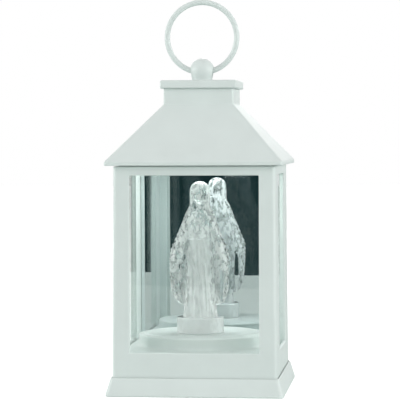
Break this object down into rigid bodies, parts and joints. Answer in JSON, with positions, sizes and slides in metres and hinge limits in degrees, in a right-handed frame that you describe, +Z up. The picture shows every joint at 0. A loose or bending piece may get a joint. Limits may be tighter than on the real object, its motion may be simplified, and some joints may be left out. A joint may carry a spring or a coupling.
{
  "type": "led lantern",
  "caption": "Square mini lantern: flared base, glazed body with mirrored back wall, clear draped figure on a round plinth, pyramid roof, knob and swinging carrying ring.",
  "frame": {"origin": "middle of the base's underside, on the surface that the lantern stands on", "axes": "+Z up, the large front window looks along -Y, +X to the right of someone who looks in at the front"},
  "size_m": [0.07, 0.07, 0.1567],
  "materials": {
    "shell": "satin moulded, cool white",
    "pane": "clear, polished",
    "clear": "clear moulded, glossy",
    "mirror": "silvered sheet",
    "metal": "nickel-plated",
    "dark": "matt black",
    "board": "green board",
    "tan": "matt tan coating",
    "red": "matt red insulation",
    "cell": "plain grey sleeve"
  },
  "bodies": {
    "lantern": {"base_skirt": "shell", "body_shell": "shell", "floor_panel": "shell", "front_pane": "pane", "left_pane": "pane", "right_pane": "pane", "mirror_panel": "mirror", "roof_shell": "shell", "cap_plate": "shell", "knob": "shell", "knob_screw": "metal", "figurine": "clear", "base_screw_1": "metal", "base_screw_2": "metal", "base_screw_3": "metal", "base_screw_4": "metal", "cell_box": "shell", "cell_1": "cell", "cell_2": "cell", "cell_3": "cell", "contact_plate_1": "metal", "contact_plate_2": "metal", "contact_plate_3": "metal", "contact_spring_1": "metal", "contact_spring_2": "metal", "contact_spring_3": "metal", "switch_body": "dark", "circuit_board": "board", "series_resistor": "tan", "lamp_board": "board", "led_lamp": "clear", "lamp_wire_black": "dark", "lamp_wire_red": "red", "cell_wire_black": "dark", "cell_wire_red": "red"},
    "ring": {"carry_ring": "shell"},
    "door": {"cell_door": "shell", "door_screw": "metal"},
    "slider": {"switch_slider": "dark"}
  },
  "joints": [
    {"name": "ring_swing", "type": "hinge", "parent": "lantern", "child": "ring", "pos_m": [0, 0, 0.1274], "axis": [1, 0, 0], "range_deg": [-96, 96]},
    {"name": "door_tilt", "type": "hinge", "parent": "lantern", "child": "door", "pos_m": [0, -0.0202, 0.0016], "axis": [-1, 0, 0], "range_deg": [0, 75]},
    {"name": "switch_slide", "type": "slide", "parent": "lantern", "child": "slider", "axis": [1, 0, 0], "range_m": [0, 0.003]}
  ]
}
